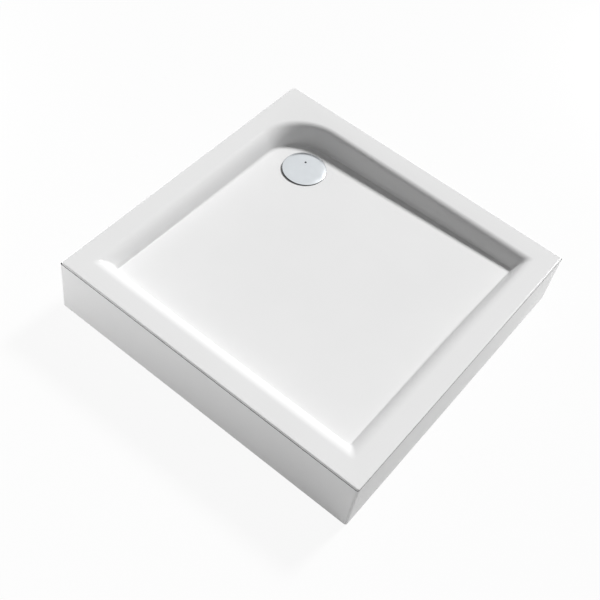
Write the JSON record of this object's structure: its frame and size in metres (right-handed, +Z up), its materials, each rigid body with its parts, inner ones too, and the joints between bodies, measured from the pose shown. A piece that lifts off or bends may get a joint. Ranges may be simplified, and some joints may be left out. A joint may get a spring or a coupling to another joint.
{
  "type": "shower tray",
  "caption": "Square corner shower tray with a raised flat rim, sloping basin, waste trap in the rounded corner, adjustable feet and a pull-off apron on two sides.",
  "frame": {"origin": "on the floor, below the middle of the square rim", "axes": "+Z up; -Y and +X are the two open sides with the apron, +Y and -X the two wall sides"},
  "size_m": [0.9, 0.9, 0.174],
  "materials": {
    "acrylic": "high gloss white cast acrylic",
    "laminate": "sprayed glassfibre laminate, uneven",
    "board": "raw chipboard",
    "foot_plastic": "moulded black",
    "zinc_steel": "bright zinc plate",
    "clip_plastic": "moulded grey",
    "foam": "closed-cell foam",
    "rubber": "moulded black",
    "waste_plastic": "moulded white",
    "strainer_plastic": "moulded light grey",
    "chrome_plate": "polished chrome plate"
  },
  "bodies": {
    "tray": {"tray_shell": "acrylic", "glassfibre_backing": "laminate", "base_board": "board", "foot_socket_front_left": "foot_plastic", "foot_socket_front_right": "foot_plastic", "foot_socket_back_right": "foot_plastic", "foot_socket_left": "foot_plastic", "foot_socket_back": "foot_plastic", "foot_socket_centre": "foot_plastic", "foot_socket_screws": "zinc_steel", "apron_clip_front_left": "clip_plastic", "apron_clip_front_right": "clip_plastic", "apron_clip_right_front": "clip_plastic", "apron_clip_right_back": "clip_plastic", "apron_clip_screws": "zinc_steel", "apron_stay_front_left": "zinc_steel", "apron_stay_front_right": "zinc_steel", "apron_stay_right_front": "zinc_steel", "apron_stay_right_back": "zinc_steel", "apron_stay_screws": "zinc_steel", "wall_bracket_left_front": "zinc_steel", "wall_bracket_left_back": "zinc_steel", "wall_bracket_back_left": "zinc_steel", "wall_bracket_back_right": "zinc_steel", "waste_upper_gasket": "rubber", "waste_lower_gasket": "rubber", "waste_clamp_flange": "waste_plastic", "trap_body": "waste_plastic", "outlet_union_nut": "waste_plastic", "outlet_seal": "rubber"},
    "apron": {"apron_panel": "acrylic", "apron_seal_strip": "foam"},
    "trap_cup": {"trap_cup": "waste_plastic"},
    "dip_tube": {"dip_tube": "waste_plastic"},
    "hair_strainer": {"hair_strainer": "strainer_plastic"},
    "drain_cover": {"drain_cover": "chrome_plate"},
    "outlet_elbow": {"outlet_elbow": "waste_plastic"},
    "pad_front_left": {"foot_pad_front_left": "foot_plastic"},
    "stud_front_left": {"foot_stud_front_left": "zinc_steel", "foot_nut_front_left": "zinc_steel"},
    "pad_front_right": {"foot_pad_front_right": "foot_plastic"},
    "stud_front_right": {"foot_stud_front_right": "zinc_steel", "foot_nut_front_right": "zinc_steel"},
    "pad_back_right": {"foot_pad_back_right": "foot_plastic"},
    "stud_back_right": {"foot_stud_back_right": "zinc_steel", "foot_nut_back_right": "zinc_steel"},
    "pad_left": {"foot_pad_left": "foot_plastic"},
    "stud_left": {"foot_stud_left": "zinc_steel", "foot_nut_left": "zinc_steel"},
    "pad_back": {"foot_pad_back": "foot_plastic"},
    "stud_back": {"foot_stud_back": "zinc_steel", "foot_nut_back": "zinc_steel"},
    "pad_centre": {"foot_pad_centre": "foot_plastic"},
    "stud_centre": {"foot_stud_centre": "zinc_steel", "foot_nut_centre": "zinc_steel"}
  },
  "joints": [
    {"name": "apron_pull", "type": "slide", "parent": "tray", "child": "apron", "axis": [0.7071, -0.7071, 0], "range_m": [0, 0.25]},
    {"name": "trap_cup_lift", "type": "slide", "parent": "tray", "child": "trap_cup", "axis": [0, 0, 1], "range_m": [0, 0.1]},
    {"name": "dip_tube_lift", "type": "slide", "parent": "trap_cup", "child": "dip_tube", "axis": [0, 0, 1], "range_m": [0, 0.06]},
    {"name": "hair_strainer_lift", "type": "slide", "parent": "dip_tube", "child": "hair_strainer", "axis": [0, 0, 1], "range_m": [0, 0.04]},
    {"name": "drain_cover_lift", "type": "slide", "parent": "hair_strainer", "child": "drain_cover", "axis": [0, 0, 1], "range_m": [0, 0.05]},
    {"name": "outlet_elbow_swivel", "type": "hinge", "parent": "tray", "child": "outlet_elbow", "pos_m": [-0.345, 0.26, 0.05449], "axis": [1, 0, 0], "range_deg": [-90, 90]},
    {"name": "foot_front_left_travel", "type": "slide", "parent": "tray", "child": "pad_front_left", "axis": [0, 0, -1], "range_m": [0, 0.015]},
    {"name": "foot_front_left_turn", "type": "hinge", "parent": "pad_front_left", "child": "stud_front_left", "pos_m": [-0.29, -0.29, 0.01], "axis": [0, 0, -1], "range_deg": [0, 3086]},
    {"name": "foot_front_right_travel", "type": "slide", "parent": "tray", "child": "pad_front_right", "axis": [0, 0, -1], "range_m": [0, 0.015]},
    {"name": "foot_front_right_turn", "type": "hinge", "parent": "pad_front_right", "child": "stud_front_right", "pos_m": [0.29, -0.29, 0.01], "axis": [0, 0, -1], "range_deg": [0, 3086]},
    {"name": "foot_back_right_travel", "type": "slide", "parent": "tray", "child": "pad_back_right", "axis": [0, 0, -1], "range_m": [0, 0.015]},
    {"name": "foot_back_right_turn", "type": "hinge", "parent": "pad_back_right", "child": "stud_back_right", "pos_m": [0.29, 0.29, 0.01], "axis": [0, 0, -1], "range_deg": [0, 3086]},
    {"name": "foot_left_travel", "type": "slide", "parent": "tray", "child": "pad_left", "axis": [0, 0, -1], "range_m": [0, 0.015]},
    {"name": "foot_left_turn", "type": "hinge", "parent": "pad_left", "child": "stud_left", "pos_m": [-0.29, 0.04, 0.01], "axis": [0, 0, -1], "range_deg": [0, 3086]},
    {"name": "foot_back_travel", "type": "slide", "parent": "tray", "child": "pad_back", "axis": [0, 0, -1], "range_m": [0, 0.015]},
    {"name": "foot_back_turn", "type": "hinge", "parent": "pad_back", "child": "stud_back", "pos_m": [-0.04, 0.29, 0.01], "axis": [0, 0, -1], "range_deg": [0, 3086]},
    {"name": "foot_centre_travel", "type": "slide", "parent": "tray", "child": "pad_centre", "axis": [0, 0, -1], "range_m": [0, 0.015]},
    {"name": "foot_centre_turn", "type": "hinge", "parent": "pad_centre", "child": "stud_centre", "pos_m": [0, 0, 0.01], "axis": [0, 0, -1], "range_deg": [0, 3086]}
  ],
  "couplings": [
    {"joint": "foot_front_left_turn", "follows": "foot_front_left_travel", "rad_per_m": 3590.4},
    {"joint": "foot_front_right_turn", "follows": "foot_front_right_travel", "rad_per_m": 3590.4},
    {"joint": "foot_back_right_turn", "follows": "foot_back_right_travel", "rad_per_m": 3590.4},
    {"joint": "foot_left_turn", "follows": "foot_left_travel", "rad_per_m": 3590.4},
    {"joint": "foot_back_turn", "follows": "foot_back_travel", "rad_per_m": 3590.4},
    {"joint": "foot_centre_turn", "follows": "foot_centre_travel", "rad_per_m": 3590.4}
  ]
}
